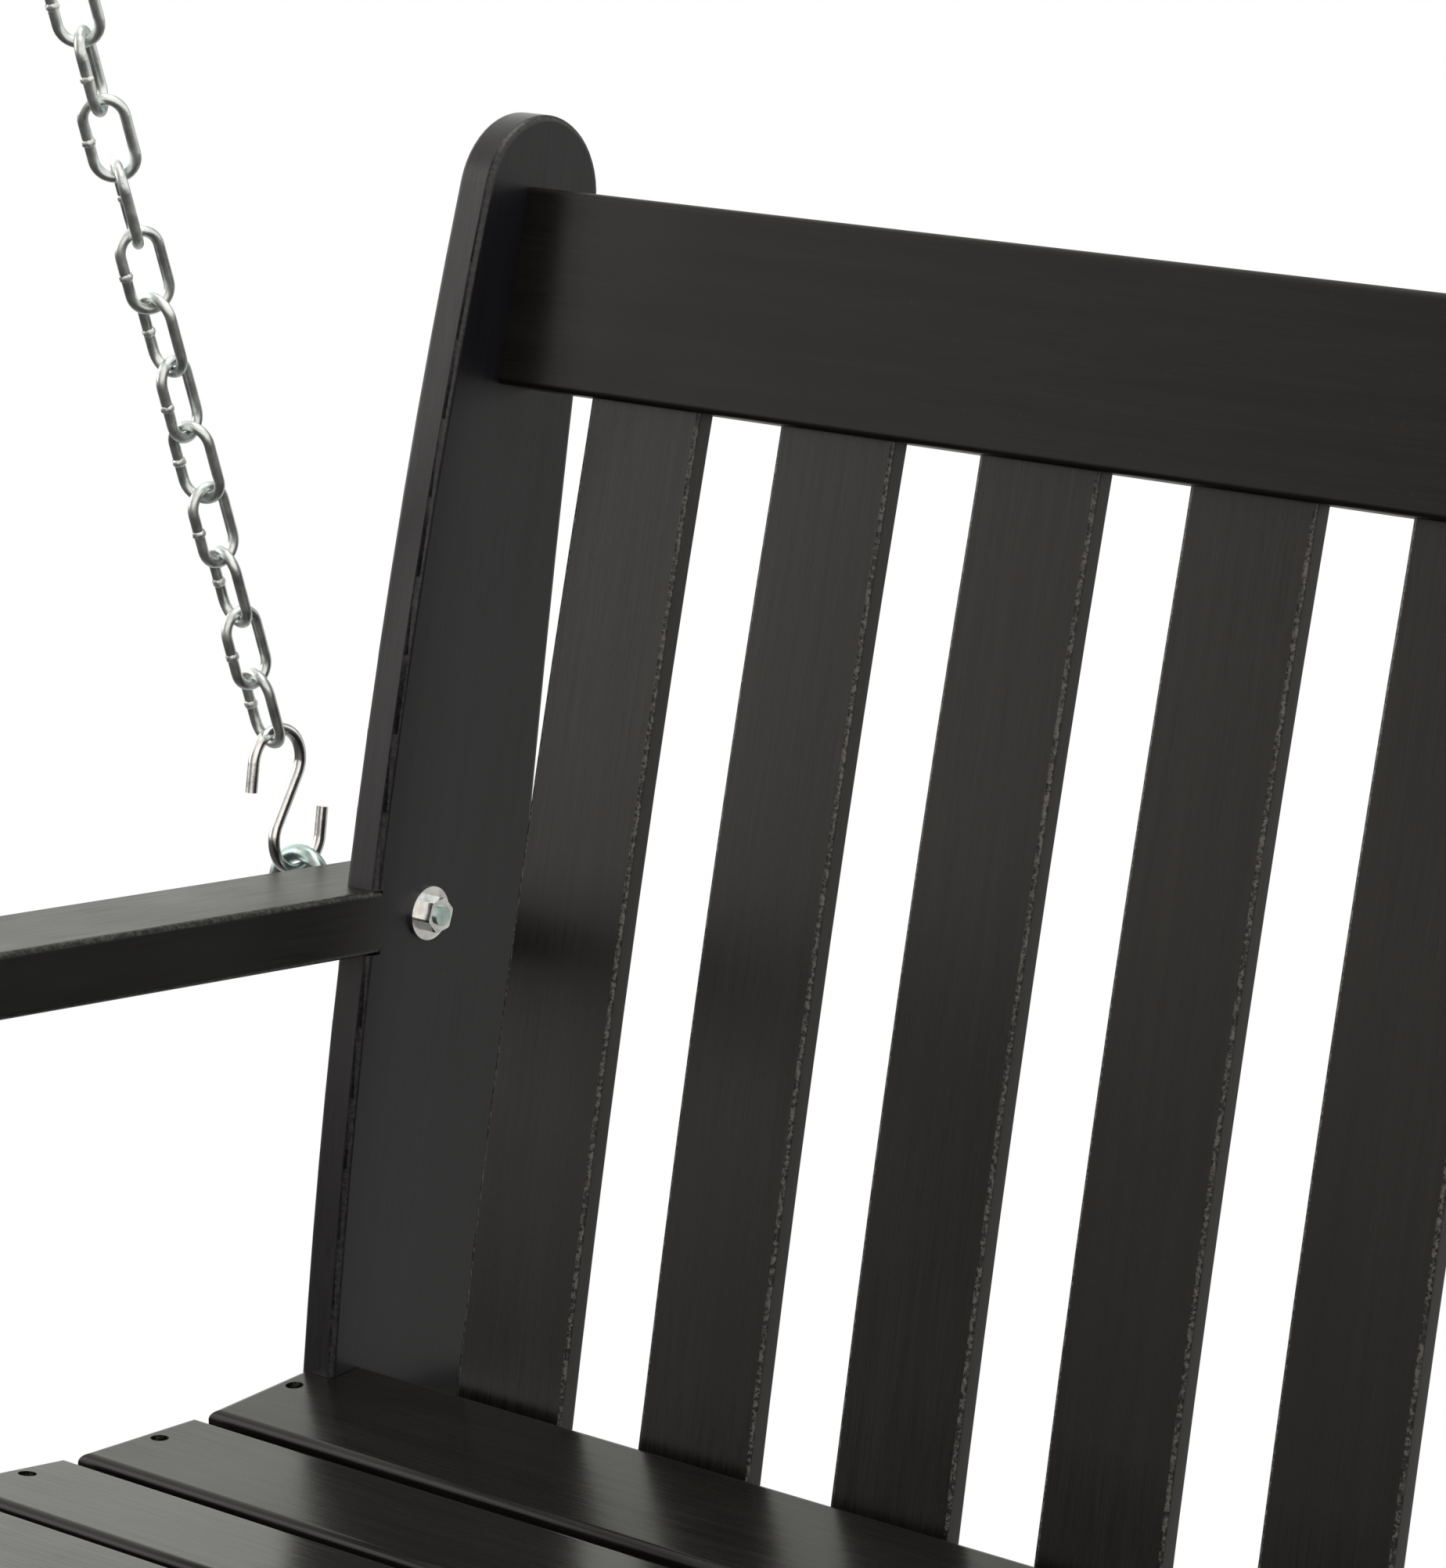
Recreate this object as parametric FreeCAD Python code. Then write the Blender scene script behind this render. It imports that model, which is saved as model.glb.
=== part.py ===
import FreeCAD, Part
import math
import os

os.makedirs("parts", exist_ok=True)

V = FreeCAD.Vector

# A two-seat porch swing of dark plastic lumber, hung from four chains.
#
# All sizes are in millimetres.  The origin is the ceiling point midway between the two
# hangers, +Z is up, +Y is towards the back of the seat and -X is the sitter's right hand.
# The bench itself is drawn in its own level frame, called the bench frame: the arms are
# level, zero height is the seat surface at the back posts, y is measured backwards from
# the posts' front edges and x from the middle.  hang() then leans it back and lowers it.

# Lumber
board = 19.5                # thickness of posts, side rails, supports and stretchers
rail_width = 92.0
slat_width = 64.0
slat_pitch = 110.0
slat_count = 10
slat_thickness = 11.0
end_gap = 50.5              # post to the first back slat
edge_radius = 3.0           # rounded edges of posts, arms and head rail
half_span = (2 * end_gap + (slat_count - 1) * slat_pitch + slat_width) / 2

# Back post, side view
post_mid = (16.4, 252.6)
post_front_shoulder = (67.4, 554.0)
post_top = (105.0, 585.0)
post_back_shoulder = (144.8, 541.0)
post_back_mid = (124.0, 287.0)
post_back_foot = (113.5, 0.0)
frame_bottom = -75.0

# Back slats and head rail, side view
slat_low = (24.0, -70.0)
slat_mid = (57.2, 256.4)
slat_high = (93.2, 495.0)
rail_low_front = (79.6, 461.9)
rail_thickness = 27.0
rail_tilt = 9.6

# Seat, from the rear slat to the nose: width and tilt, positive when the front is higher
seat_slat_widths = (84.0, 74.0, 73.0, 73.0, 73.0, 62.0)
seat_slat_tilts = (-7.5, -2.4, 2.6, 4.5, -2.0, -28.0)
seat_slat_thickness = 22.0
seat_slat_gap = 9.0
seat_edge_radius = 4.5
seat_rear_edge = (22.0, 3.6)
screw_share = 0.45          # of each seat slat's width, from its rear edge to the screws
rear_stretcher = (39.0, -20.0, board, 40.0)         # front face, top, thickness, height
front_stretcher = (-395.0, -30.0, 29.0, 45.0)

# Arms
arm_top = 230.0
arm_thickness = 30.0
arm_width = 60.5
arm_housing = 18.7          # how far back the arm reaches into the post's front edge
arm_tail = 100.0            # end of the tongue that passes outside the post
arm_overhang = 48.0         # arm in front of the front eye bolt
support_width = 80.0

# Eye bolts
eye_bolt_rear = (50.3, 216.1)
shank_radius = 4.75
bolt_hole_radius = 5.0
eye_radius = 15.0
eye_wire_radius = 4.0
eye_reach = 81.0            # from the post's inner face out to the middle of the eye
washer_radius = 12.7
washer_thickness = 2.0
nut_flats = 15.0
nut_height = 6.5
bolt_end = 1.5

# Chain
link_wire = 5.0
link_outer_width = 24.0
link_pitch = 32.2
contact_gap = 0.1
rear_links = 16
front_links = 16
link_turns = (-12, -4, -14, -4, 12, 7, -5, -23, -38, -50, -57, -57, -65, -72, -79, -85)
hook_wire_radius = 2.8
hook_loop_radius = 15.8
hook_loop_offset = 20.4
hook_tail = 14.0
hook_splay = 27.0           # degrees that each tail leans away from the leg

# Ring, hanger link and ceiling plate
ring_radius = 22.0
ring_wire_radius = 3.5
moving_gap = 0.3
bar_radius = 4.0
bar_half_length = 4.0
bar_bend = 6.0
pin_drop = 26.0             # ceiling to the pivot pin
bar_drop = 64.0             # ceiling to the bar that carries the ring
pin_radius = 5.0
bush_clearance = 0.05
bush_radius = 7.0
barrel_radius = 11.0
barrel_length = 28.0
cheek_gap = 30.0
cheek_thickness = 4.0
cheek_radius = 14.0
plate_thickness = 5.0
plate_width = 60.0
plate_length = 110.0
ceiling_hole_spacing = 80.0
ceiling_hole_radius = 4.2

# How the bench hangs
recline = 5.32              # degrees that the level bench frame leans back
ring_over_seat_y = -115.1   # straight above the moving parts' centre of mass

cos_r = math.cos(math.radians(recline))
sin_r = math.sin(math.radians(recline))


def hung(y, z):
    """A point of the bench frame after leaning back, before lowering from the ceiling."""
    return y * cos_r + z * sin_r, z * cos_r - y * sin_r


def level(y, z):
    """The opposite of hung."""
    return y * cos_r - z * sin_r, z * cos_r + y * sin_r


# Length of a chain leg from the ring's middle to the middle of the eye's wire
hook_inner_length = 2 * (hook_loop_offset + hook_loop_radius - hook_wire_radius)
link_inner_length = link_pitch + contact_gap
first_link = ring_radius - ring_wire_radius - contact_gap


def leg_length(links):
    hook_top = first_link + (links - 1) * link_pitch + link_inner_length - contact_gap
    return hook_top + hook_inner_length - eye_wire_radius - contact_gap


eye_x = -(half_span + eye_reach)
rear_eye = hung(eye_bolt_rear[0], eye_bolt_rear[1] + eye_radius)
ring_height = rear_eye[1] + math.sqrt(
    leg_length(rear_links) ** 2 - (rear_eye[0] - ring_over_seat_y) ** 2)
ring_drop = bar_drop - bar_radius - ring_wire_radius - moving_gap + ring_radius
ceiling_height = ring_height + ring_drop

# The front eye bolt sits where a whole number of links reaches the arm
ring_level = level(ring_over_seat_y, ring_height)
front_rise = ring_level[1] - eye_bolt_rear[1] - eye_radius
front_eye_y = ring_level[0] - math.sqrt(leg_length(front_links) ** 2 - front_rise ** 2)
eye_bolt_front = (front_eye_y, eye_bolt_rear[1])
arm_front = front_eye_y - arm_overhang
support_rear = front_eye_y + support_width / 2
support_front = front_eye_y - support_width / 2


# Building blocks
def line(a, b):
    return Part.LineSegment(V(0, *a), V(0, *b)).toShape()


def arc(a, middle, b):
    return Part.Arc(V(0, *a), V(0, *middle), V(0, *b)).toShape()


def side_board(edges, x_low, thickness):
    """A board whose outline lies in the side view, thickness along x."""
    face = Part.Face(Part.Wire(Part.__sortEdges__(edges)))
    solid = face.extrude(V(thickness, 0, 0))
    solid.translate(V(x_low, 0, 0))
    return solid


def polygon(points):
    return [line(a, b) for a, b in zip(points, points[1:] + points[:1])]


def box(x, y, z):
    """A box between the low and high ends given for each axis."""
    return Part.makeBox(x[1] - x[0], y[1] - y[0], z[1] - z[0], V(x[0], y[0], z[0]))


def rod(start, end, radius):
    along = end - start
    return Part.makeCylinder(radius, along.Length, start, along)


def soften(shape, radius, wanted):
    """Rounds the edges that wanted() accepts."""
    return shape.makeFillet(radius, [edge for edge in shape.Edges if wanted(edge)])


def runs_along(edge, axis):
    if not isinstance(edge.Curve, Part.Line):
        return False
    return abs(edge.Curve.Direction.dot(axis)) > 0.999


def cut_all(shape, tools):
    for tool in tools:
        shape = shape.cut(tool)
    return shape


def mirror(shape):
    return shape.mirror(V(0, 0, 0), V(1, 0, 0))


def hang(shape):
    """From the bench frame to the place where the bench hangs."""
    placed = shape.copy()
    placed.rotate(V(0, 0, 0), V(1, 0, 0), -recline)
    placed.translate(V(0, -ring_over_seat_y, -ceiling_height))
    return placed


def export(name, shape):
    shape.exportStep("parts/" + name + ".step")


def group(shapes):
    return shapes[0] if len(shapes) == 1 else Part.makeCompound(shapes)


# Back
def back_post():
    """The left post: front edge bowed back, round top, housing for the arm."""
    bottom = frame_bottom
    heel = (post_back_foot[0], bottom)
    outline = [
        line((0, bottom), (0, 0)),
        arc((0, 0), post_mid, post_front_shoulder),
        arc(post_front_shoulder, post_top, post_back_shoulder),
        arc(post_back_shoulder, post_back_mid, post_back_foot),
        line(post_back_foot, heel),
        line(heel, (0, bottom)),
    ]
    post = side_board(outline, -half_span - board, board)
    post = soften(post, edge_radius, lambda edge: abs(edge.CenterOfMass.z - bottom) > 1
                  and not runs_along(edge, V(1, 0, 0)))
    housing = box((-half_span - board, -half_span), (-10, arm_housing),
                  (arm_top - arm_thickness, arm_top))
    return post.cut(housing)


def back_slat(index):
    """A gently bowed slat, counted from the left end."""
    lean = math.radians(rail_tilt)
    back = [(y + slat_thickness * math.cos(lean / 2), z - slat_thickness * math.sin(lean / 2))
            for y, z in (slat_low, slat_mid, slat_high)]
    outline = [
        arc(slat_low, slat_mid, slat_high),
        line(slat_high, back[2]),
        arc(back[2], back[1], back[0]),
        line(back[0], slat_low),
    ]
    left = -half_span + end_gap + index * slat_pitch
    return side_board(outline, left, slat_width)


def head_rail(slats):
    """The top rail, let over the slats' upper ends."""
    lean = math.radians(rail_tilt)
    up = (math.sin(lean), math.cos(lean))
    rear = (math.cos(lean), -math.sin(lean))
    low = rail_low_front
    top = (low[0] + rail_width * up[0], low[1] + rail_width * up[1])
    outline = polygon([
        low,
        top,
        (top[0] + rail_thickness * rear[0], top[1] + rail_thickness * rear[1]),
        (low[0] + rail_thickness * rear[0], low[1] + rail_thickness * rear[1]),
    ])
    rail = side_board(outline, -half_span, 2 * half_span)
    rail = soften(rail, edge_radius, lambda edge: runs_along(edge, V(1, 0, 0)))
    return cut_all(rail, slats)


# Seat
def seat_profile():
    """Each seat slat as its rear point, forward direction, upward normal and width."""
    places = []
    y, z = seat_rear_edge
    tilt_before = seat_slat_tilts[0]
    for width, tilt in zip(seat_slat_widths, seat_slat_tilts):
        turn = math.radians(tilt_before - tilt)
        if places:
            gap = seat_slat_gap + max(0.0, 2 * seat_slat_thickness * math.tan(turn / 2))
            between = math.radians((tilt_before + tilt) / 2)
            y -= gap * math.cos(between)
            z += gap * math.sin(between)
        angle = math.radians(tilt)
        forward = V(0, -math.cos(angle), math.sin(angle))
        normal = V(0, math.sin(angle), math.cos(angle))
        places.append((V(0, y, z), forward, normal, width))
        y += width * forward.y
        z += width * forward.z
        tilt_before = tilt
    return places


def seat_slat(place, length):
    """A slat with rounded upper edges, laid at its place in the seat."""
    rear, forward, normal, width = place
    slat = Part.makeBox(length, width, seat_slat_thickness,
                        V(-length / 2, -width, -seat_slat_thickness))
    slat = soften(slat, seat_edge_radius,
                  lambda edge: edge.CenterOfMass.z > -1)
    tilt = math.degrees(math.atan2(forward.z, -forward.y))
    slat.rotate(V(0, 0, 0), V(1, 0, 0), -tilt)
    slat.translate(rear)
    return slat


def bearer_outline(y_rear, y_front):
    """The contour under the slats, closed along the bottom, cut off at two y values."""
    top = []
    for rear, forward, normal, width in seat_profile():
        under = rear - normal * seat_slat_thickness
        ahead = under + forward * width
        top.append((under.y, under.z))
        top.append((ahead.y, ahead.z))
    top.insert(0, (post_back_foot[0] + 10, top[0][1]))
    nose = top[-1]
    outline = polygon(top + [(nose[0], frame_bottom), (top[0][0], frame_bottom)])
    full = side_board(outline, 0, board)
    window = box((-1, board + 1), (y_front, y_rear), (frame_bottom - 1, 50))
    return full.common(window)


def placed_board(solid, x_low):
    moved = solid.copy()
    moved.translate(V(x_low, 0, 0))
    return moved


def stretcher(place):
    """A board across the bench between the two inner cleats."""
    reach = half_span - board
    y, top, thickness, height = place
    return box((-reach, reach), (y, y + thickness), (top - height, top))


# Arms
def arm():
    """The left arm: inner part stops in the post, outer tongue passes beside it."""
    inner = (-half_span - board, -half_span)
    outer = (-half_span - arm_width, -half_span - board)
    z = (arm_top - arm_thickness, arm_top)
    blank = box((outer[0], inner[1]), (arm_front, arm_housing), z)
    tongue = box(outer, (0, arm_tail), z)
    blank = blank.fuse(tongue).removeSplitter()
    blank = soften(blank, 18.0, lambda edge: runs_along(edge, V(0, 0, 1))
                   and (edge.CenterOfMass.y < arm_front + 1 or edge.CenterOfMass.y > arm_tail - 1)
                   and edge.CenterOfMass.x < -half_span - board - 1)
    blank = soften(blank, edge_radius, lambda edge: not runs_along(edge, V(0, 0, 1))
                   and abs(edge.CenterOfMass.y - arm_housing) > 1
                   and abs(edge.CenterOfMass.x - outer[1]) > 1)
    mortise = box(inner, (support_front, support_rear), z)
    return blank.cut(mortise)


def arm_support():
    x = (-half_span - board, -half_span)
    support = box(x, (support_front, support_rear), (frame_bottom, arm_top))
    return soften(support, edge_radius, lambda edge: runs_along(edge, V(0, 0, 1)))


# Hardware
def eye_bolt(place):
    """The left eye bolt: the eye stands upright outside the arm, the shank runs inwards."""
    centre = V(eye_x, *place)
    eye = Part.makeTorus(eye_radius, eye_wire_radius, centre, V(0, 1, 0))
    end = V(-half_span + washer_thickness + nut_height + bolt_end, *place)
    return eye.fuse(rod(centre + V(eye_radius, 0, 0), end, shank_radius))


def washer(place, x_low):
    start = V(x_low, *place)
    end = V(x_low + washer_thickness, *place)
    return rod(start, end, washer_radius).cut(rod(start, end, bolt_hole_radius))


def hex_prism(centre, flats, height, hole_radius):
    """A hexagon nut along x, on flats across flats."""
    corner = flats / math.sqrt(3)
    points = []
    for step in range(6):
        angle = math.radians(60 * step + 15)
        points.append((corner * math.cos(angle), corner * math.sin(angle)))
    nut = side_board(polygon(points), 0, height)
    nut = nut.common(rod(V(0, 0, 0), V(height, 0, 0), flats / 2 * 1.11))
    if hole_radius:
        nut = nut.cut(rod(V(0, 0, 0), V(height, 0, 0), hole_radius))
    nut.translate(centre)
    return nut


def half_torus(radius, wire, centre, axis, start):
    """Half of a torus round axis, beginning at the direction start."""
    half = Part.makeTorus(radius, wire, V(0, 0, 0), V(0, 0, 1), -180, 180, 180)
    side = axis.cross(start)
    matrix = FreeCAD.Matrix(start.x, side.x, axis.x, centre.x,
                            start.y, side.y, axis.y, centre.y,
                            start.z, side.z, axis.z, centre.z,
                            0, 0, 0, 1)
    half.transformShape(matrix)
    return half


def link():
    """One welded chain link, standing along z, its opening facing y."""
    wire = link_wire / 2
    radius = link_outer_width / 2 - wire
    half_straight = link_inner_length / 2 + wire - radius
    top = half_torus(radius, wire, V(0, 0, half_straight), V(0, -1, 0), V(1, 0, 0))
    bottom = half_torus(radius, wire, V(0, 0, -half_straight), V(0, 1, 0), V(1, 0, 0))
    shape = top.fuse(bottom)
    for side in (-radius, radius):
        leg = rod(V(side, 0, -half_straight), V(side, 0, half_straight), wire)
        shape = shape.fuse(leg)
    return shape.removeSplitter()


def s_hook():
    """An open S-hook standing along z in the side view; its upper tail is at the front."""
    r = hook_loop_radius
    h = hook_loop_offset
    lean = math.asin(r / h)
    across = (r * math.cos(lean), h - r * math.sin(lean))
    splay = math.radians(hook_splay)
    down = (-math.sin(splay), -math.cos(splay))
    leave = (-r * math.cos(splay), h + r * math.sin(splay))
    tip = (leave[0] + hook_tail * down[0], leave[1] + hook_tail * down[1])
    upper = [tip, leave, (0, h + r), across]
    lower = [(-y, -z) for y, z in reversed(upper)]
    edges = [
        line(upper[0], upper[1]),
        arc(upper[1], upper[2], upper[3]),
        line(upper[3], lower[0]),
        arc(lower[0], lower[1], lower[2]),
        line(lower[2], lower[3]),
    ]
    path = Part.Wire(edges)
    section = Part.Wire(Part.makeCircle(hook_wire_radius, V(0, *tip), V(0, *down)))
    return path.makePipeShell([section], True, False)


def along_leg(shape, distance, eye, turn):
    """Moves a shape standing along z to a place on the leg from the ring to an eye."""
    lean = math.degrees(math.atan2(eye[0] - ring_over_seat_y, ring_height - eye[1]))
    placed = shape.copy()
    placed.rotate(V(0, 0, 0), V(0, 0, 1), turn)
    placed.translate(V(0, 0, -distance))
    placed.rotate(V(0, 0, 0), V(1, 0, 0), lean)
    placed.translate(V(eye_x, 0, -ring_drop))
    return placed


def chain(eye, links):
    """All links of one leg from the ring down; link_turns counts from the hook up."""
    pattern = link()
    shapes = []
    for index in range(links):
        distance = first_link + index * link_pitch + link_inner_length / 2
        above_hook = links - 1 - index
        turn = link_turns[above_hook] + 90 * (above_hook % 2)
        shapes.append(along_leg(pattern, distance, eye, turn))
    return shapes


def leg_hook(eye, links):
    hook_top = first_link + (links - 1) * link_pitch + link_inner_length - contact_gap
    distance = hook_top + hook_inner_length / 2
    return along_leg(s_hook(), distance, eye, 0)


# Ceiling hanger
def hanger_plate():
    """A ceiling plate with two welded cheeks for the pivot pin."""
    centre = V(eye_x, 0, 0)
    plate = box((eye_x - plate_width / 2, eye_x + plate_width / 2),
                (-plate_length / 2, plate_length / 2), (-plate_thickness, 0))
    plate = soften(plate, 10.0, lambda edge: runs_along(edge, V(0, 0, 1)))
    for side in (-1, 1):
        x_low = eye_x + side * (cheek_gap + cheek_thickness) / 2 - cheek_thickness / 2
        x_high = x_low + cheek_thickness
        tab = box((x_low, x_high), (-cheek_radius, cheek_radius), (-pin_drop, -plate_thickness))
        nose = rod(V(x_low, 0, -pin_drop), V(x_high, 0, -pin_drop), cheek_radius)
        plate = plate.fuse(tab).fuse(nose)
        y = side * ceiling_hole_spacing / 2
        hole = rod(centre + V(0, y, -plate_thickness - 1), centre + V(0, y, 1), ceiling_hole_radius)
        plate = plate.cut(hole)
    reach = cheek_gap / 2 + cheek_thickness + 1
    bore = rod(V(eye_x - reach, 0, -pin_drop), V(eye_x + reach, 0, -pin_drop), pin_radius)
    return plate.removeSplitter().cut(bore)


def pivot_pin():
    reach = cheek_gap / 2 + cheek_thickness
    shank = rod(V(eye_x - reach, 0, -pin_drop),
                V(eye_x + reach + nut_height + 3, 0, -pin_drop), pin_radius)
    head = hex_prism(V(eye_x - reach - 6, 0, -pin_drop), nut_flats, 6.0, 0)
    return shank.fuse(head)


def pivot_nut():
    reach = cheek_gap / 2 + cheek_thickness
    return hex_prism(V(eye_x + reach, 0, -pin_drop), nut_flats, nut_height, pin_radius)


def bush():
    start = V(eye_x - barrel_length / 2, 0, -pin_drop)
    end = V(eye_x + barrel_length / 2, 0, -pin_drop)
    return rod(start, end, bush_radius).cut(rod(start, end, pin_radius + bush_clearance))


def hanger_link():
    """The barrel that turns on the pin, with the bent bar that carries the ring."""
    start = V(eye_x - barrel_length / 2, 0, -pin_drop)
    end = V(eye_x + barrel_length / 2, 0, -pin_drop)
    side = bar_half_length + bar_bend
    shape = rod(start, end, barrel_radius)
    shape = shape.fuse(rod(V(eye_x - bar_half_length, 0, -bar_drop),
                           V(eye_x + bar_half_length, 0, -bar_drop), bar_radius))
    corner_z = -bar_drop + bar_bend
    for way in (-1, 1):
        corner = V(eye_x + way * bar_half_length, 0, corner_z)
        bend = Part.makeTorus(bar_bend, bar_radius, corner, V(0, 1, 0))
        quarter = box(sorted((corner.x, corner.x + way * (bar_bend + bar_radius))),
                      (-bar_radius, bar_radius), (corner_z - bar_bend - bar_radius, corner_z))
        upright = rod(V(eye_x + way * side, 0, corner_z), V(eye_x + way * side, 0, -pin_drop),
                      bar_radius)
        shape = shape.fuse(bend.common(quarter)).fuse(upright)
    bore = rod(start - V(2, 0, 0), end + V(2, 0, 0), bush_radius)
    return shape.cut(bore).removeSplitter()


def ring():
    return Part.makeTorus(ring_radius, ring_wire_radius, V(eye_x, 0, -ring_drop), V(1, 0, 0))


# Screws and bolts
def screw(head, direction, length, head_radius, shank):
    """A flat-headed screw: head is the middle of its top, direction points into the wood."""
    d = V(direction)
    d.normalize()
    cone = Part.makeCone(head_radius, shank, head_radius - shank, head, d)
    return cone.fuse(rod(head, head + d * length, shank))


def seat_screws(places):
    """One screw per slat into each bearer, its head sunk below the surface."""
    screws = []
    wells = []
    for index, (rear, forward, normal, width) in enumerate(places):
        middle = rear + forward * (width * screw_share)
        side = half_span + 8.7 if index < 4 else half_span - board / 2
        for x in (-side, 0.0, side):
            top = V(x, middle.y, middle.z)
            head = top - normal * 3.0
            screws.append(screw(head, normal * -1, 42.0, 4.2, 2.2))
            wells.append(rod(head, top + normal * 1.0, 4.2))
    return screws, wells


def rail_screws():
    """Two screws through each post into the head rail; left end only."""
    lean = math.radians(rail_tilt)
    middle = rail_thickness / 2
    screws = []
    for rise in (24.0, 68.0):
        y = rail_low_front[0] + rise * math.sin(lean) + middle * math.cos(lean)
        z = rail_low_front[1] + rise * math.cos(lean) - middle * math.sin(lean)
        head = V(-half_span - board, y, z)
        screws.append(screw(head, V(1, 0, 0), 65.0, 5.0, 2.6))
    return screws


def slat_screws():
    """One screw through the foot of each back slat into the rear stretcher."""
    screws = []
    z = -45.0
    y = slat_low[0] + (z - slat_low[1]) * (slat_mid[0] - slat_low[0]) / (slat_mid[1] - slat_low[1])
    for index in range(slat_count):
        x = -half_span + end_gap + slat_width / 2 + index * slat_pitch
        screws.append(screw(V(x, y - 1.0, z), V(0, 1, 0), 28.0, 4.0, 2.0))
    return screws


def stretcher_screws():
    """Two screws through each cleat into a stretcher's end; left end only."""
    screws = []
    for y, top, thickness, height in (rear_stretcher, front_stretcher):
        for share in (0.25, 0.75):
            head = V(-half_span, y + thickness / 2, top - share * height)
            screws.append(screw(head, V(1, 0, 0), 60.0, 4.0, 2.0))
    return screws


def frame_bolt_places():
    """Where bolts hold the left post, side rail and support to the inner cleat."""
    upper = -48.0
    lower = -64.0
    return [(20.0, upper), (68.0, lower), (-60.0, upper), (support_rear + 40.0, lower),
            (support_rear - 20.0, upper), (support_front + 27.0, lower)]


def frame_bolt(place):
    """A carriage bolt through the two boards of the left side frame."""
    y, z = place
    outside = -half_span - board
    head = Part.makeSphere(9.0, V(outside + 6.0, y, z))
    head = head.common(box((outside - 5, outside), (y - 9, y + 9), (z - 9, z + 9)))
    shank = rod(V(outside, y, z), V(-half_span + board + 9, y, z), 3.0)
    return head.fuse(shank)


def frame_nut(place):
    return hex_prism(V(-half_span + board, *place), 10.0, 5.5, 3.0)


# Assembly
seat_places = seat_profile()
slats = [back_slat(index) for index in range(slat_count)]
seat_fixings, wells = seat_screws(seat_places)
slat_fixings = slat_screws()
rail_fixings = rail_screws()
rail_fixings += [mirror(fixing) for fixing in rail_fixings]
stretcher_fixings = stretcher_screws()
stretcher_fixings += [mirror(fixing) for fixing in stretcher_fixings]
bolt_places = frame_bolt_places()
bolts = [frame_bolt(place) for place in bolt_places]
bolts += [mirror(bolt) for bolt in bolts]
nuts = [frame_nut(place) for place in bolt_places]
nuts += [mirror(nut) for nut in nuts]

bolt_holes = []
for place in (eye_bolt_rear, eye_bolt_front):
    start = V(-half_span - arm_width - 1, *place)
    bolt_holes.append(rod(start, V(-half_span + 1, *place), bolt_hole_radius))

post = cut_all(back_post(), bolt_holes + rail_fixings + bolts)
export("back_post_left", hang(post))
export("back_post_right", hang(mirror(post)))
rail = head_rail(slats)
export("head_rail", hang(cut_all(rail, rail_fixings)))
for index, slat in enumerate(slats):
    export("back_slat_%02d" % (index + 1), hang(cut_all(slat, [slat_fixings[index]])))

full_length = 2 * (half_span + board)
post_notch = box((-full_length, -half_span + 0.5), (-0.5, 200), (-60, 60))
support_notch = box((-full_length, -half_span + 0.5), (support_front - 60, support_rear + 0.5),
                    (-90, 60))
notches = [post_notch, mirror(post_notch), support_notch, mirror(support_notch)]
for index, place in enumerate(seat_places):
    slat = cut_all(seat_slat(place, full_length), notches + wells + seat_fixings)
    export("seat_slat_%d" % (index + 1), hang(slat))

side_rail = placed_board(bearer_outline(0, support_rear), -half_span - board)
side_rail = cut_all(side_rail, seat_fixings + bolts)
cleat = placed_board(bearer_outline(post_back_foot[0], support_front), -half_span)
cleat = cut_all(cleat, seat_fixings + bolts + stretcher_fixings)
middle = bearer_outline(rear_stretcher[0], front_stretcher[0] + front_stretcher[2])
middle_bearer = cut_all(placed_board(middle, -board / 2), seat_fixings)
export("side_rail_left", hang(side_rail))
export("side_rail_right", hang(mirror(side_rail)))
export("seat_cleat_left", hang(cleat))
export("seat_cleat_right", hang(mirror(cleat)))
export("middle_bearer", hang(middle_bearer))
rear_board = cut_all(stretcher(rear_stretcher), slat_fixings + stretcher_fixings)
export("rear_stretcher", hang(rear_board))
front_board = cut_all(stretcher(front_stretcher), seat_fixings + stretcher_fixings)
export("front_stretcher", hang(front_board))

arm_board = cut_all(arm(), bolt_holes)
export("arm_left", hang(arm_board))
export("arm_right", hang(mirror(arm_board)))
support = cut_all(arm_support(), bolt_holes + bolts)
export("arm_support_left", hang(support))
export("arm_support_right", hang(mirror(support)))

eye_bolts = [eye_bolt(eye_bolt_rear), eye_bolt(eye_bolt_front)]
eye_bolts += [mirror(shape) for shape in eye_bolts]
washers = []
eye_nuts = []
for place in (eye_bolt_rear, eye_bolt_front):
    washers.append(washer(place, -half_span))
    washers.append(washer(place, -half_span - arm_width - washer_thickness))
    nut_place = V(-half_span + washer_thickness, *place)
    eye_nuts.append(hex_prism(nut_place, nut_flats, nut_height, shank_radius))
washers += [mirror(shape) for shape in washers]
eye_nuts += [mirror(shape) for shape in eye_nuts]
export("eye_bolts", hang(group(eye_bolts)))
export("eye_bolt_washers", hang(group(washers)))
export("eye_bolt_nuts", hang(group(eye_nuts)))
export("seat_screws", hang(group(seat_fixings)))
export("slat_screws", hang(group(slat_fixings)))
export("rail_screws", hang(group(rail_fixings)))
export("stretcher_screws", hang(group(stretcher_fixings)))
export("frame_bolts", hang(group(bolts)))
export("frame_nuts", hang(group(nuts)))

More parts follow.
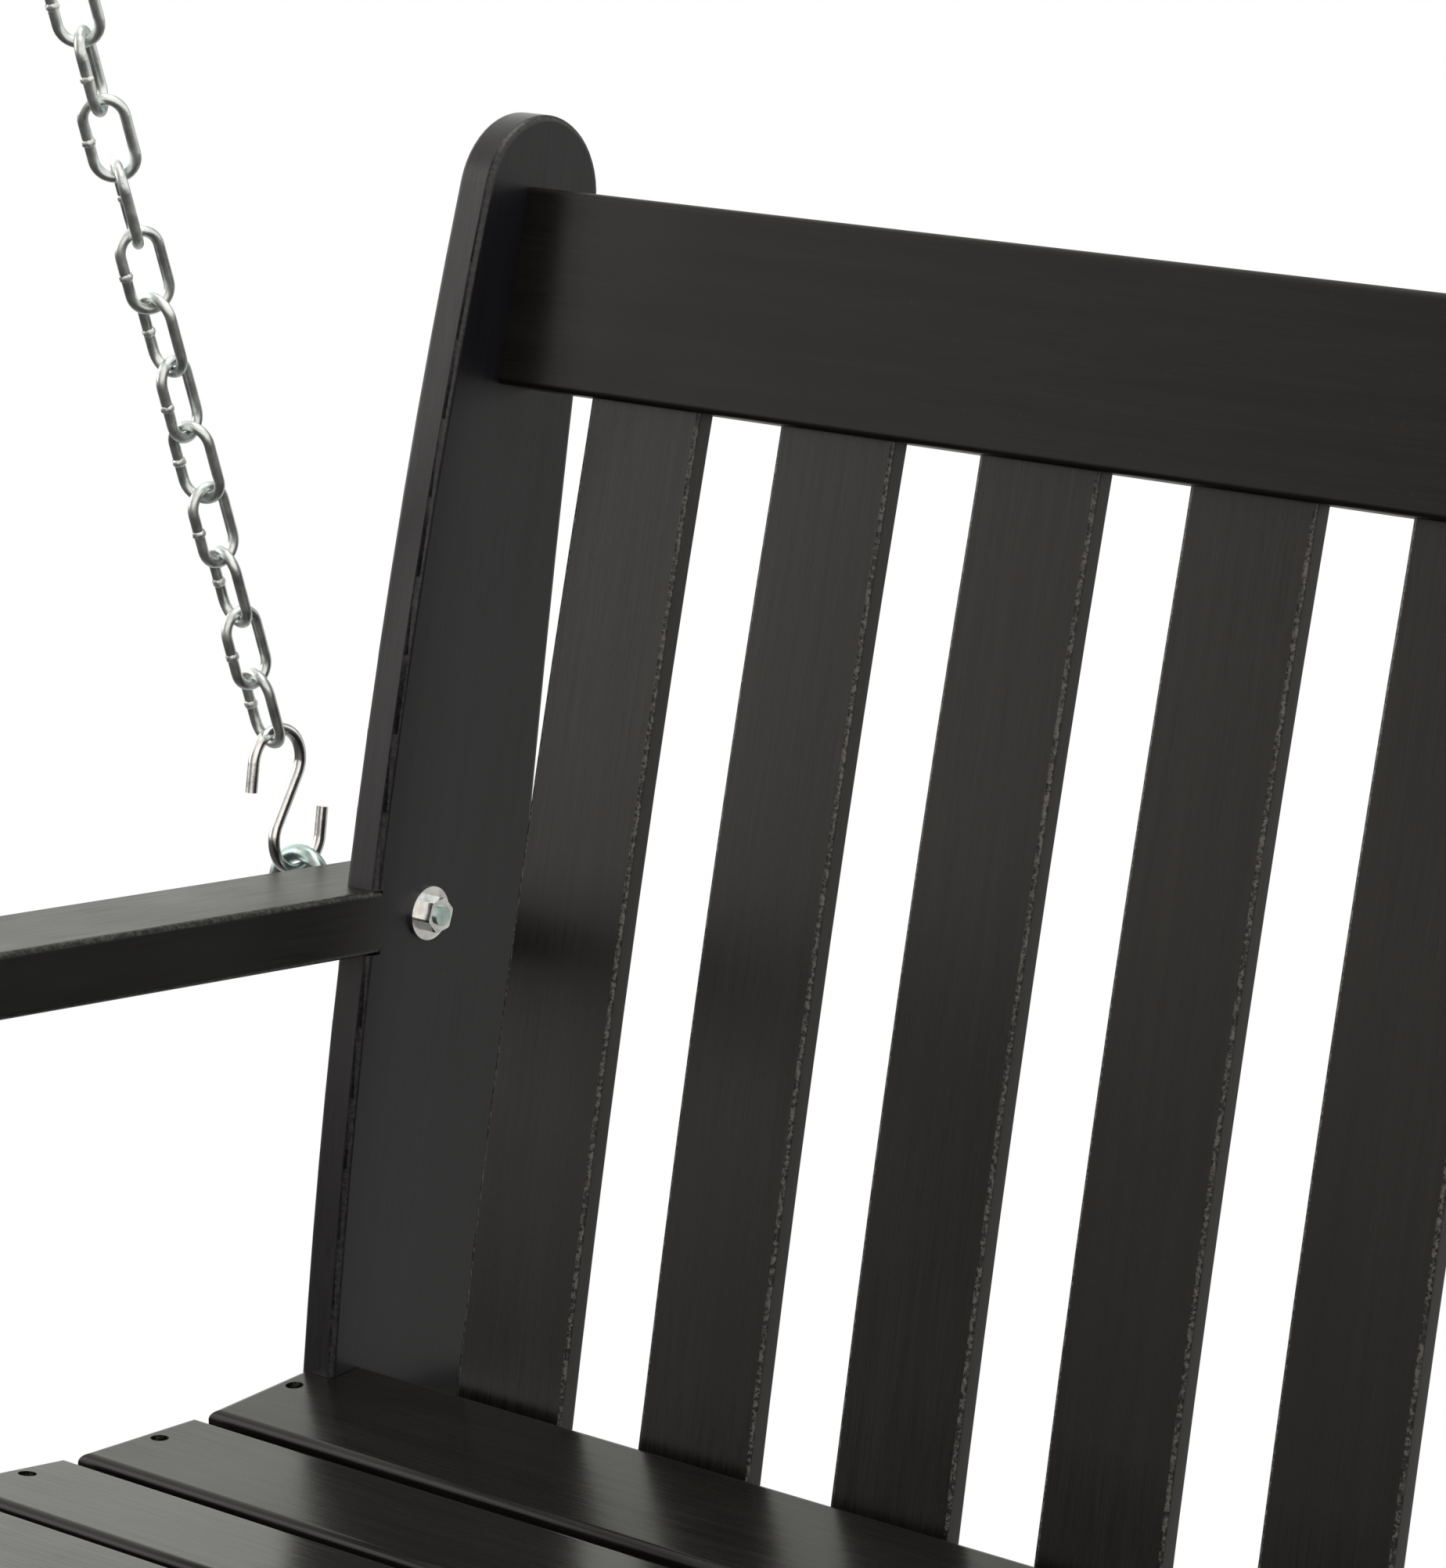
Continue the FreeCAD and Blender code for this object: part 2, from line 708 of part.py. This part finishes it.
front_eye = hung(front_eye_y, eye_bolt_front[1] + eye_radius)
legs = {
    "rear": (rear_eye, rear_links),
    "front": (front_eye, front_links),
}
for name, (eye, links) in legs.items():
    links_made = chain(eye, links)
    hook = leg_hook(eye, links)
    export("chain_%s_left" % name, group(links_made))
    export("chain_%s_right" % name, group([mirror(shape) for shape in links_made]))
    export("s_hook_%s_left" % name, hook)
    export("s_hook_%s_right" % name, mirror(hook))

hanger = {
    "top_ring": ring(),
    "hanger_link": hanger_link(),
    "hanger_bush": bush(),
    "pivot_pin": pivot_pin(),
    "ceiling_plate": hanger_plate(),
}
for name, shape in hanger.items():
    export(name + "_left", shape)
    export(name + "_right", mirror(shape))
export("pivot_nuts", group([pivot_nut(), mirror(pivot_nut())]))
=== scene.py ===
import math

import bmesh
import bpy
from mathutils import Matrix, Vector


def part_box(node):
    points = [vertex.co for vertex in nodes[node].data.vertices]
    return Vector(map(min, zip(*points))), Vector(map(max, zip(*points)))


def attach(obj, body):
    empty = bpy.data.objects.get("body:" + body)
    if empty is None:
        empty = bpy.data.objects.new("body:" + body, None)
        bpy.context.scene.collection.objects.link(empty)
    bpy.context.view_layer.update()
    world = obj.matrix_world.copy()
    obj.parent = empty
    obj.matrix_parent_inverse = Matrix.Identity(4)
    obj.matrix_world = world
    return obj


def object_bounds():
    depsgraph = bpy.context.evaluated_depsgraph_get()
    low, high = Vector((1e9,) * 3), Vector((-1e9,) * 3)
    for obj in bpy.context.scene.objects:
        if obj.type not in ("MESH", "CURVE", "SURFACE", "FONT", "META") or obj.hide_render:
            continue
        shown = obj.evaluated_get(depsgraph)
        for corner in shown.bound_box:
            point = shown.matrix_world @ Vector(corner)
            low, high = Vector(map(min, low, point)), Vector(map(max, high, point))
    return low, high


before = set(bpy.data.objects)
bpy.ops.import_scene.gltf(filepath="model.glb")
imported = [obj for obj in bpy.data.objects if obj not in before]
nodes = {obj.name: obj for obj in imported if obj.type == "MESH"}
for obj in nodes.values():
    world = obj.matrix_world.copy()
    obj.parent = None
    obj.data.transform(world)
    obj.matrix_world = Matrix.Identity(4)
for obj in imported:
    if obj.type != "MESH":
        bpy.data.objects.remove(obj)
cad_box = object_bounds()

swing = "swing"
same_point = 1e-6        # vertices nearer than this are one

# Camera: a long lens, high and to the right of the bench's left end
right_of_post = 1.668
before_post = 1.7655
above_post_foot = 0.9772
azimuth = math.radians(38.987)
elevation = math.radians(14.020)
roll = math.radians(0.119)
post_low, post_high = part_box("back_post_left")
camera_place = Vector((post_high.x + right_of_post, post_low.y - before_post, post_low.z + above_post_foot))
camera_turn = (Matrix.Rotation(azimuth, 4, "Z") @ Matrix.Rotation(math.pi / 2 - elevation, 4, "X")
               @ Matrix.Rotation(roll, 4, "Z"))
lens_data = bpy.data.cameras.new("camera")
lens_data.sensor_width = 36.0
lens_data.lens = 127.1
lens_data.clip_end = 200.0
camera = bpy.data.objects.new("camera", lens_data)
bpy.context.scene.collection.objects.link(camera)
camera.matrix_world = Matrix.Translation(camera_place) @ camera_turn
bpy.context.scene.camera = camera
bpy.context.scene.view_settings.view_transform = "Standard"


# Node trees
class Tree:
    """A node tree whose nodes are added one by one."""

    def __init__(self, tree):
        self.tree = tree

    def add(self, kind, **settings):
        node = self.tree.nodes.new(kind)
        for key, value in settings.items():
            setattr(node, key, value)
        return node

    def feed(self, socket, value):
        """Links an output to an input, or writes a plain value into it."""
        if isinstance(value, bpy.types.NodeSocket):
            self.tree.links.new(value, socket)
        else:
            socket.default_value = value

    def axes(self, vector):
        node = self.add("ShaderNodeSeparateXYZ")
        self.feed(node.inputs["Vector"], vector)
        return node.outputs["X"], node.outputs["Y"], node.outputs["Z"]

    def span(self, value, low, high, to_low=0.0, to_high=1.0):
        node = self.add("ShaderNodeMapRange")
        self.feed(node.inputs["Value"], value)
        for key, number in (("From Min", low), ("From Max", high), ("To Min", to_low), ("To Max", to_high)):
            node.inputs[key].default_value = number
        return node.outputs["Result"]

    def math(self, operation, a, b=0.0):
        node = self.add("ShaderNodeMath", operation=operation)
        self.feed(node.inputs[0], a)
        self.feed(node.inputs[1], b)
        return node.outputs["Value"]

    def mix(self, kind, factor, a, b):
        """Goes from a to b; kind is FLOAT or RGBA, which use different sockets of one node."""
        node = self.add("ShaderNodeMix", data_type=kind)
        socket_a, socket_b, result = {"FLOAT": (2, 3, 0), "RGBA": (6, 7, 2)}[kind]
        self.feed(node.inputs["Factor"], factor)
        self.feed(node.inputs[socket_a], a)
        self.feed(node.inputs[socket_b], b)
        return node.outputs[result]

    def camera_ray(self):
        return self.add("ShaderNodeLightPath").outputs["Is Camera Ray"]


class Shader(Tree):
    """A material whose surface is one Principled BSDF."""

    def __init__(self, name):
        self.material = bpy.data.materials.new(name)
        self.material.use_nodes = True
        super().__init__(self.material.node_tree)
        self.tree.nodes.clear()
        self.surface = self.add("ShaderNodeBsdfPrincipled")
        self.output = self.add("ShaderNodeOutputMaterial")
        self.feed(self.output.inputs["Surface"], self.surface.outputs["BSDF"])

    def place(self, stretch, lean=0.0):
        """Object coordinates, turned about x by lean and scaled along each axis."""
        turned = self.add("ShaderNodeMapping", vector_type="TEXTURE")
        self.feed(turned.inputs["Vector"], self.add("ShaderNodeTexCoord").outputs["Object"])
        turned.inputs["Rotation"].default_value = (lean, 0.0, 0.0)
        scaled = self.add("ShaderNodeMapping")
        self.feed(scaled.inputs["Vector"], turned.outputs["Vector"])
        scaled.inputs["Scale"].default_value = stretch
        return scaled.outputs["Vector"]

    def noise(self, vector, scale, detail=3.0, rough=0.55):
        node = self.add("ShaderNodeTexNoise")
        self.feed(node.inputs["Vector"], vector)
        node.inputs["Scale"].default_value = scale
        node.inputs["Detail"].default_value = detail
        node.inputs["Roughness"].default_value = rough
        return node.outputs["Fac"]

    def bump(self, heights):
        """Stacks bumps, each a height, its depth in metres and its strength."""
        normal = None
        for height, depth, strength in heights:
            node = self.add("ShaderNodeBump")
            self.feed(node.inputs["Height"], height)
            node.inputs["Distance"].default_value = depth
            node.inputs["Strength"].default_value = strength
            if normal is not None:
                self.feed(node.inputs["Normal"], normal)
            normal = node.outputs["Normal"]
        self.feed(self.surface.inputs["Normal"], normal)

    def set(self, **values):
        for key, value in values.items():
            self.feed(self.surface.inputs[key.replace("_", " ")], value)


def opaque(r, g, b):
    return (r, g, b, 1.0)


# Materials
x_axis, y_axis, z_axis = 0, 1, 2
no_stretch = (1.0, 1.0, 1.0)
fleck_colour = opaque(0.05, 0.048, 0.044)
# Lighter colour for chipped edges, partly wear and partly a painted highlight
chipped_highlight_colour = opaque(0.17, 0.165, 0.155)
dirt_colour = opaque(0.08, 0.08, 0.075)


def lumber(name, along, lean, dark, light, gloss, wear_and_highlight, shine=0.5):
    """Dark plastic lumber: brushed streaks along the board, cloudy sheen, pits, and edges lightened in
    chips, partly wear and partly a painted highlight.
    """
    shader = Shader(name)
    fine = [900.0] * 3
    fine[along] = 22.0
    broad = [120.0] * 3
    broad[along] = 5.0
    streaks = shader.noise(shader.place(fine, lean), 1.0, 4.0, 0.6)
    bands = shader.noise(shader.place(broad, lean), 1.0, 3.0)
    even = shader.place(no_stretch)
    clouds = shader.noise(even, 9.0, 3.0)
    grains = shader.noise(even, 1400.0, 2.0)
    flecks = shader.span(shader.noise(even, 420.0, 3.0, 0.7), 0.66, 0.74)
    tone = shader.span(shader.math("ADD", streaks, bands), 0.75, 1.25)
    colour = shader.mix("RGBA", tone, opaque(*dark), opaque(*light))
    colour = shader.mix("RGBA", shader.math("MULTIPLY", flecks, 0.25), colour, fleck_colour)

    # An edge is where the surface faces neither straight sideways nor straight on
    normal_x = shader.axes(shader.add("ShaderNodeNewGeometry").outputs["True Normal"])[0]
    sideways = shader.math("ABSOLUTE", normal_x)
    edge = shader.math("MULTIPLY", shader.span(sideways, 0.08, 0.2), shader.span(sideways, 0.98, 0.93))
    chips = shader.span(shader.noise(even, 480.0, 4.0, 0.75), 0.46, 0.58)
    worn_and_highlit_edges = shader.math("MULTIPLY", edge, chips)
    # The lighter chipped colour on these edges is partly wear and partly a painted highlight along the
    # eased edges
    colour = shader.mix("RGBA", shader.math("MULTIPLY", worn_and_highlit_edges, wear_and_highlight), colour, chipped_highlight_colour)

    roughness = shader.math("ADD", shader.span(streaks, 0.3, 0.7, gloss, gloss + 0.1),
                            shader.span(clouds, 0.3, 0.7, -0.03, 0.05))
    shader.set(Base_Color=colour, Roughness=roughness, IOR=1.46, Specular_IOR_Level=shine)
    shader.bump([(bands, 0.0003, 0.3), (streaks, 0.00005, 0.4), (grains, 0.00002, 0.35)])
    return shader.material


def zinc(name, tint_low, tint_high, roughness):
    """Bright zinc plate with cloudy passivation and fine drawing marks."""
    shader = Shader(name)
    even = shader.place(no_stretch)
    clouds = shader.noise(even, 120.0, 4.0)
    marks = shader.noise(even, 1500.0, 2.0)
    dirt = shader.span(shader.noise(even, 260.0, 5.0, 0.7), 0.58, 0.76)
    colour = shader.mix("RGBA", shader.span(clouds, 0.35, 0.65), tint_low, tint_high)
    colour = shader.mix("RGBA", shader.math("MULTIPLY", dirt, 0.6), colour, dirt_colour)
    rough = shader.math("ADD", shader.span(clouds, 0.3, 0.7, roughness - 0.06, roughness + 0.06),
                        shader.math("MULTIPLY", dirt, 0.15))
    shader.set(Base_Color=colour, Metallic=1.0, Roughness=rough)
    shader.bump([(clouds, 0.0003, 0.35), (marks, 0.00003, 0.3)])
    return shader.material


def coated(name, colour, roughness, metallic=0.0):
    """Powder coat, oxide or moulded plastic: orange-peel bump and slight wear."""
    shader = Shader(name)
    even = shader.place(no_stretch)
    peel = shader.noise(even, 900.0, 2.0)
    wear_and_highlight = shader.noise(even, 60.0, 5.0, 0.65)
    rubbed = opaque(*(1.8 * channel for channel in colour[:3]))
    tint = shader.mix("RGBA", shader.span(wear_and_highlight, 0.55, 0.75), colour, rubbed)
    shader.set(Base_Color=tint, Metallic=metallic,
               Roughness=shader.span(wear_and_highlight, 0.3, 0.7, roughness - 0.05, roughness + 0.08))
    shader.bump([(peel, 0.00008, 0.4)])
    return shader.material


bench_lean = math.radians(5.32)
upright_lean = math.radians(-12.0)
warm_dark, warm_light = (0.0050, 0.0043, 0.0036), (0.0098, 0.0086, 0.0074)
violet_dark, violet_light = (0.0058, 0.0055, 0.0078), (0.0092, 0.0089, 0.0120)
green_dark, green_light = (0.0045, 0.0047, 0.0041), (0.0085, 0.0088, 0.0078)
# The wear values also set how strongly the edges carry the painted highlight, most on the back slats
upright = lumber("lumber_upright", z_axis, upright_lean, warm_dark, warm_light, gloss=0.24, wear_and_highlight=0.7)
post = lumber("lumber_post", z_axis, upright_lean, violet_dark, violet_light, gloss=0.27, wear_and_highlight=0.15)
across = lumber("lumber_across", x_axis, 0.0, warm_dark, warm_light, gloss=0.20, wear_and_highlight=0.3, shine=0.40)
top_rail = lumber("lumber_rail", x_axis, 0.0, warm_dark, warm_light, gloss=0.30, wear_and_highlight=0.3, shine=0.30)
fore_aft = lumber("lumber_fore_aft", y_axis, -bench_lean, green_dark, green_light, gloss=0.30, wear_and_highlight=0.3)
chain_zinc = zinc("zinc_chain", opaque(0.62, 0.66, 0.66), opaque(0.86, 0.90, 0.89), roughness=0.36)
bolt_zinc = zinc("zinc_bolts", opaque(0.36, 0.50, 0.48), opaque(0.60, 0.70, 0.68), roughness=0.30)
bright_steel = zinc("zinc_bright", opaque(0.68, 0.69, 0.69), opaque(0.92, 0.93, 0.92), roughness=0.20)
weld_zinc = zinc("zinc_weld", opaque(0.80, 0.82, 0.82), opaque(0.92, 0.93, 0.92), roughness=0.45)
black_oxide = coated("black_oxide", opaque(0.008, 0.008, 0.008), roughness=0.45, metallic=0.6)
# Near black for the screws' drive recesses: painted shade in place of the hollows
painted_recess_shade = coated("painted_recess_shade", opaque(0.0015, 0.0015, 0.0015), roughness=0.7)
black_coat = coated("black_coat", opaque(0.012, 0.012, 0.013), roughness=0.42)
nylon = coated("nylon", opaque(0.55, 0.53, 0.48), roughness=0.5)

# The material of each node, by the start of its name
finishes = {
    "back_post": post, "back_slat": upright, "arm_support": post,
    "head_rail": top_rail, "seat_slat": across, "rear_stretcher": across, "front_stretcher": across,
    "arm_left": fore_aft, "arm_right": fore_aft, "side_rail": fore_aft, "seat_cleat": fore_aft,
    "middle_bearer": fore_aft, "chain": chain_zinc, "s_hook": bright_steel, "top_ring": chain_zinc,
    "eye_bolts": bolt_zinc, "eye_bolt_washers": bright_steel, "eye_bolt_nuts": bright_steel,
    "seat_screws": black_oxide, "slat_screws": black_oxide, "rail_screws": black_oxide,
    "stretcher_screws": black_oxide, "frame_": black_oxide, "pivot_": bolt_zinc,
    "hanger_link": black_coat, "ceiling_plate": black_coat, "hanger_bush": nylon,
}
for name, node in nodes.items():
    finish = next(material for start, material in finishes.items() if name.startswith(start))
    node.data.materials.clear()
    node.data.materials.append(finish)

# The back slats' long edges are eased, too finely for the CAD model
for name, node in nodes.items():
    if name.startswith("back_slat"):
        weld = node.modifiers.new("weld", "WELD")
        weld.merge_threshold = same_point
        ease = node.modifiers.new("ease", "BEVEL")
        ease.width = 0.0020
        ease.segments = 4
        ease.use_clamp_overlap = False
        ease.limit_method = "ANGLE"
        ease.angle_limit = math.radians(50.0)
        node.modifiers.new("flat_faces", "WEIGHTED_NORMAL")


# Details on separate solids of one node
def average(points):
    return sum(points, Vector()) / len(points)


def extent(solid, direction):
    reach = [point.dot(direction) for point in solid]
    return min(reach), max(reach)


def half_width(solid, direction):
    low, high = extent(solid, direction)
    return (high - low) / 2


def islands(node):
    """The vertices of each separate solid of a node."""
    mesh = bmesh.new()
    mesh.from_mesh(node.data)
    bmesh.ops.remove_doubles(mesh, verts=mesh.verts, dist=same_point)
    reached = set()
    found = []
    for start in mesh.verts:
        if start in reached:
            continue
        reached.add(start)
        waiting = [start]
        solid = []
        while waiting:
            vertex = waiting.pop()
            solid.append(vertex.co.copy())
            for edge in vertex.link_edges:
                other = edge.other_vert(vertex)
                if other not in reached:
                    reached.add(other)
                    waiting.append(other)
        found.append(solid)
    mesh.free()
    return sorted(found, key=lambda solid: tuple(round(c, 5) for c in average(solid)))


def add_piece(name, mesh, material, smooth):
    """Makes an object from a bmesh; it rides on the swing."""
    data = bpy.data.meshes.new(name)
    mesh.to_mesh(data)
    mesh.free()
    for face in data.polygons:
        face.use_smooth = smooth
    data.materials.append(material)
    piece = bpy.data.objects.new(name, data)
    bpy.context.scene.collection.objects.link(piece)
    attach(piece, swing)


bead_half_length = 0.0030
bead_over_wire = 1.2                          # the bead's radius in wire radii
bead_side = Vector((-1.0, -0.8, 0.0))         # the way that the welded legs face


def weld_beads(name, eye, ring):
    """A lumpy bead halfway down one leg of every link of a chain."""
    leg = (ring - eye).normalized()
    start = leg.orthogonal().normalized()
    turns = [Matrix.Rotation(math.radians(step), 3, leg) @ start for step in range(0, 180, 2)]
    beads = bmesh.new()
    for solid in islands(nodes[name]):
        across_link = max(turns, key=lambda way: half_width(solid, way))
        if across_link.dot(bead_side) < 0:
            across_link = -across_link
        flat = leg.cross(across_link)
        wire = half_width(solid, flat)
        centre = average(solid) + across_link * (half_width(solid, across_link) - wire)
        bead_radius = wire * bead_over_wire
        made = bmesh.ops.create_icosphere(beads, subdivisions=3, radius=1.0)
        for vertex in made["verts"]:
            x, y, z = vertex.co
            lump = 1.0 + 0.07 * math.sin(9 * x + 3100 * centre.z) + 0.06 * math.sin(11 * y + 7 * z)
            outward = (flat * x + across_link * y) * bead_radius * lump
            vertex.co = centre + outward + leg * z * bead_half_length
    add_piece(name + "_welds", beads, weld_zinc, True)


recess_lobes = 6
recess_points = 48
recess_over_head = 0.55                       # the recess's radius in head radii
lobe_depth = 0.18                             # in recess radii
recess_bottom, recess_top = -0.0003, 0.00008  # from the top of the head
rim_depth = 0.0004
tip_reach = 0.006
head_start = 0.9                              # in screw lengths from the tip


def head_of(solid):
    """A screw's axis, and the middle and radius of the top of its head."""
    middle = average(solid)
    farthest = max(solid, key=lambda point: (point - middle).length)
    tip = average([point for point in solid if (point - farthest).length < tip_reach])
    length = max((point - tip).length for point in solid)
    head = average([point for point in solid if (point - tip).length > head_start * length])
    axis = (head - tip).normalized()
    top = extent(solid, axis)[1]
    rim = [point for point in solid if point.dot(axis) > top - rim_depth]
    centre = average(rim)
    return axis, centre, max((point - centre).length for point in rim)


def recesses(name):
    """A six-lobed drive recess, drawn as a thin near-black inlay in each screw's head: painted shade in
    place of the hollow.
    """
    inlays = bmesh.new()
    for solid in islands(nodes[name]):
        axis, centre, head_radius = head_of(solid)
        radius = recess_over_head * head_radius
        side = axis.orthogonal().normalized()
        other = axis.cross(side)
        loops = []
        for rise in (recess_bottom, recess_top):
            loop = []
            for step in range(recess_points):
                angle = 2 * math.pi * step / recess_points
                reach = radius * (1.0 - lobe_depth + lobe_depth * math.cos(recess_lobes * angle))
                outward = side * math.cos(angle) + other * math.sin(angle)
                loop.append(inlays.verts.new(centre + axis * rise + outward * reach))
            loops.append(loop)
        bottom, upper = loops
        inlays.faces.new(upper)
        inlays.faces.new(bottom[::-1])
        for step in range(recess_points):
            after = (step + 1) % recess_points
            inlays.faces.new((bottom[step], bottom[after], upper[after], upper[step]))
    add_piece(name + "_recesses", inlays, painted_recess_shade, False)


for side in ("left", "right"):
    ring_low, ring_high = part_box("top_ring_" + side)
    ring_middle = (ring_low + ring_high) / 2
    for end in ("rear", "front"):
        hook_low, hook_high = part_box("s_hook_%s_%s" % (end, side))
        weld_beads("chain_%s_%s" % (end, side), (hook_low + hook_high) / 2, ring_middle)
recesses("seat_screws")
recesses("rail_screws")

# Floor: low enough to look at the bench from below
floor_drop = 3.0
floor_reach = 60.0
floor_height = cad_box[0][2] - floor_drop


def floor_finish():
    """Plain white to the camera; to every other ray a matt floor, darker to the front."""
    shader = Shader("pale_floor")
    from_front = shader.axes(shader.add("ShaderNodeTexCoord").outputs["Object"])[1]
    shader.set(Base_Color=shader.span(from_front, -1.0, 2.5, 0.04, 0.52), Roughness=0.9)
    either = shader.add("ShaderNodeMixShader")
    shader.feed(either.inputs["Fac"], shader.camera_ray())
    shader.feed(either.inputs[1], shader.surface.outputs["BSDF"])
    shader.feed(either.inputs[2], shader.add("ShaderNodeEmission").outputs["Emission"])
    shader.feed(shader.output.inputs["Surface"], either.outputs["Shader"])
    return shader.material


floor_corners = [(x * floor_reach, y * floor_reach, floor_height)
                 for x, y in ((-1, -1), (1, -1), (1, 1), (-1, 1))]
mesh = bpy.data.meshes.new("floor")
mesh.from_pydata(floor_corners, [], [(0, 1, 2, 3)])
mesh.materials.append(floor_finish())
floor = bpy.data.objects.new("floor", mesh)
bpy.context.scene.collection.objects.link(floor)


# World
def studio():
    """Plain white to the camera; to every other ray bright at the left, the right and overhead."""
    world = bpy.data.worlds.new("studio")
    world.use_nodes = True
    sky = Tree(world.node_tree)
    background = sky.tree.nodes["Background"]
    x, y, z = sky.axes(sky.add("ShaderNodeTexCoord").outputs["Generated"])
    sides = sky.math("ADD", sky.span(x, -0.35, -0.8, 0.30, 1.5), sky.span(x, 0.0, 0.4, 0.0, 0.9))
    dome = sky.mix("FLOAT", sky.span(z, 0.4, 0.85), sides, 0.9)
    tint = sky.mix("RGBA", sky.span(y, -0.4, 0.4), opaque(1.04, 0.97, 0.91), opaque(0.97, 0.99, 0.93))
    seen = sky.camera_ray()
    sky.feed(background.inputs["Strength"], sky.mix("FLOAT", seen, dome, 1.0))
    sky.feed(background.inputs["Color"], sky.mix("RGBA", seen, tint, opaque(1.0, 1.0, 1.0)))
    return world


bpy.context.scene.world = studio()


# Lights
def softbox(name, place, aim, size, power):
    data = bpy.data.lights.new(name, "AREA")
    data.shape = "RECTANGLE"
    data.size, data.size_y = size
    data.energy = power
    light = bpy.data.objects.new(name, data)
    light.location = place
    light.rotation_euler = (Vector(aim) - Vector(place)).to_track_quat("-Z", "Y").to_euler()
    bpy.context.scene.collection.objects.link(light)


softbox("overhead", place=(0.0, 0.5, 5.0), aim=(0.0, 0.5, 0.0), size=(5.0, 5.0), power=160.0)
softbox("left_front", place=(-3.8, -2.2, 0.9), aim=(-0.3, 0.0, -0.5), size=(1.6, 2.6), power=16.0)
